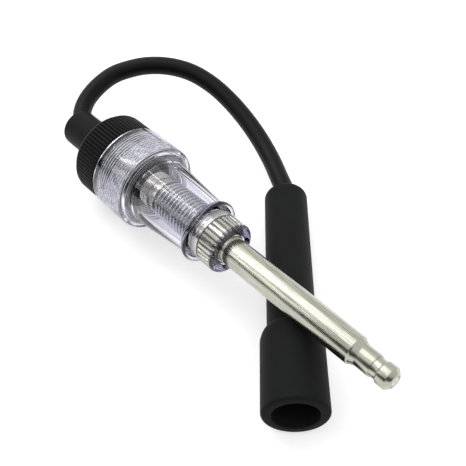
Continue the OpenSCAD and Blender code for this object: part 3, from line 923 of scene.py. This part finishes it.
def camera_and_light():
    """The camera of the photograph, the pale floor, soft lamps and the studio round them."""
    scene = bpy.context.scene
    scene.view_settings.view_transform = "Standard"
    deselect()
    bpy.ops.object.camera_add(location=CAMERA_AT)
    camera = bpy.context.object
    heading, pitch = math.radians(CAMERA_HEADING), math.radians(CAMERA_PITCH)
    level = Vector((math.cos(heading), math.sin(heading), 0)) * math.cos(pitch)
    look = level - Vector((0, 0, math.sin(pitch)))
    camera.rotation_euler = look.to_track_quat("-Z", "Y").to_euler()
    camera.data.sensor_width = SENSOR_MM
    camera.data.lens = SENSOR_MM * FOCAL_PIXELS / IMAGE_PIXELS
    camera.data.clip_start = 0.01
    scene.camera = camera
    add_floor()
    add_softbox("Overhead softbox", (-0.52, 0.02, 0.85), (0.9, 0.9), 3.0)
    add_softbox("Strip lamp", (-0.54, -0.13, 0.65), (0.07, 0.44), 0.7, 30)
    add_softbox("Left softbox", (-0.58, -0.69, 0.45), (0.36, 0.36), 0.65)
    add_world(scene)


def add_softbox(name, place, size, power, roll=0):
    """A rectangular area lamp that points at the object, rolled by some degrees."""
    deselect()
    bpy.ops.object.light_add(type="AREA", location=place)
    lamp = bpy.context.object
    lamp.name = name
    lamp.data.shape = "RECTANGLE"
    lamp.data.size, lamp.data.size_y = size
    lamp.data.energy = power
    aim = (-Vector(place)).to_track_quat("-Z", "Y")
    lamp.rotation_euler = (aim @ Quaternion((0, 0, 1), math.radians(roll))).to_euler()


def seen_rays(tree):
    """1 for camera, glossy and transmission rays, otherwise 0."""
    path = tree.nodes.new("ShaderNodeLightPath")
    largest = path.outputs["Is Camera Ray"]
    for name in ("Is Glossy Ray", "Is Transmission Ray"):
        largest = math_result(tree, "MAXIMUM", largest, path.outputs[name])
    return largest


def add_floor():
    """A wide pale floor that shows white where no shadow falls."""
    deselect()
    lowest = CAD_BOX[0][2]
    bpy.ops.mesh.primitive_grid_add(x_subdivisions=4, y_subdivisions=4, size=4, location=(0, 0, lowest))
    floor = bpy.context.object
    floor.name = "studio_floor"
    material, tree, shader = base_material("Pale floor")
    shader.inputs["Base Color"].default_value = colour("floor")
    shader.inputs["Roughness"].default_value = 0.9
    shader.inputs["Specular IOR Level"].default_value = 0.0
    shader.inputs["Emission Color"].default_value = (1, 1, 1, 1)
    lift = ranged(tree, seen_rays(tree), 0.0, FLOOR_LIFT)
    tree.links.new(lift, shader.inputs["Emission Strength"])
    floor.data.materials.append(material)


def add_world(scene):
    """A studio that is white at the horizon, pale overhead and dark low down on the camera's side."""
    world = bpy.data.worlds.new("Studio")
    scene.world = world
    world.use_nodes = True
    tree = world.node_tree
    back = tree.nodes["Background"]
    place = tree.nodes.new("ShaderNodeTexCoord")
    height = along(tree, place.outputs["Generated"], STUDIO_RISE)
    level = ranged(tree, height, 0.0, 1.0, -0.6)
    ramp = tree.nodes.new("ShaderNodeValToRGB")
    for position, tone in STUDIO_TONES[2:]:
        ramp.color_ramp.elements.new(position)
    for element, (position, tone) in zip(ramp.color_ramp.elements, STUDIO_TONES):
        element.position = position
        element.color = (*tone, 1)
    tree.links.new(level, ramp.inputs["Fac"])
    above = ranged(tree, along(tree, place.outputs["Generated"], (0, 0, 1)), 0.0, 1.0, 0.02, 0.03)
    studio = mixed(tree, above, HORIZON_TONE, ramp.outputs["Color"])
    tree.links.new(studio, back.inputs["Color"])
    back.inputs["Strength"].default_value = STUDIO_LEVEL


# Operators, panel and registration

class TESTER_OT_stage(bpy.types.Operator):
    """Set up the camera, floor and soft light"""
    bl_idname = "tester.stage"
    bl_label = "Stage"

    def execute(self, context):
        camera_and_light()
        return {"FINISHED"}


class TESTER_OT_boot(bpy.types.Operator):
    """Model the rubber boot"""
    bl_idname = "tester.boot"
    bl_label = "Boot"

    def execute(self, context):
        model_boot()
        return {"FINISHED"}


class TESTER_OT_lead(bpy.types.Operator):
    """Lay the plug lead from the cap to the boot"""
    bl_idname = "tester.lead"
    bl_label = "Plug lead"

    def execute(self, context):
        model_lead()
        return {"FINISHED"}


class TESTER_OT_cap(bpy.types.Operator):
    """Model the ribbed screw cap"""
    bl_idname = "tester.cap"
    bl_label = "Screw cap"

    def execute(self, context):
        model_cap()
        return {"FINISHED"}


class TESTER_OT_clear_body(bpy.types.Operator):
    """Model the clear body"""
    bl_idname = "tester.clear_body"
    bl_label = "Clear body"

    def execute(self, context):
        model_clear_body()
        return {"FINISHED"}


class TESTER_OT_contacts(bpy.types.Operator):
    """Model the terminal, the spring and the lamp inside the barrel"""
    bl_idname = "tester.contacts"
    bl_label = "Contacts and lamp"

    def execute(self, context):
        model_terminal()
        model_spring()
        model_lamp()
        return {"FINISHED"}


class TESTER_OT_rod(bpy.types.Operator):
    """Model the knurled bush and the probe rod"""
    bl_idname = "tester.rod"
    bl_label = "Bush and rod"

    def execute(self, context):
        model_bush()
        model_rod()
        return {"FINISHED"}


class TESTER_OT_hidden_metal(bpy.types.Operator):
    """Finish the small metal pieces inside the cap and the boot"""
    bl_idname = "tester.hidden_metal"
    bl_label = "Hidden metal"

    def execute(self, context):
        dress_hidden_metal()
        return {"FINISHED"}


OPERATORS = (TESTER_OT_stage, TESTER_OT_boot, TESTER_OT_lead, TESTER_OT_cap, TESTER_OT_clear_body,
             TESTER_OT_contacts, TESTER_OT_rod, TESTER_OT_hidden_metal)


class TESTER_PT_panel(bpy.types.Panel):
    """The tester's steps, sizes and colours"""
    bl_label = "Spark tester"
    bl_idname = "TESTER_PT_panel"
    bl_space_type = "VIEW_3D"
    bl_region_type = "UI"
    bl_category = "Spark tester"

    def draw(self, context):
        for operator in OPERATORS:
            self.layout.operator(operator.bl_idname)
        for group in (context.scene.tester_sizes, context.scene.tester_colours):
            for name in group.__annotations__:
                self.layout.prop(group, name)


CLASSES = (TesterSizes, TesterColours, *OPERATORS, TESTER_PT_panel)


def register():
    """Register the classes and their settings on the scene."""
    for item in CLASSES:
        bpy.utils.register_class(item)
    bpy.types.Scene.tester_sizes = PointerProperty(type=TesterSizes)
    bpy.types.Scene.tester_colours = PointerProperty(type=TesterColours)


def unregister():
    """Remove the settings and the classes."""
    del bpy.types.Scene.tester_colours
    del bpy.types.Scene.tester_sizes
    for item in reversed(CLASSES):
        bpy.utils.unregister_class(item)


def main():
    register()
    bpy.ops.tester.stage()
    bpy.ops.tester.boot()
    bpy.ops.tester.lead()
    bpy.ops.tester.cap()
    bpy.ops.tester.clear_body()
    bpy.ops.tester.contacts()
    bpy.ops.tester.rod()
    bpy.ops.tester.hidden_metal()


if __name__ == "__main__":
    main()
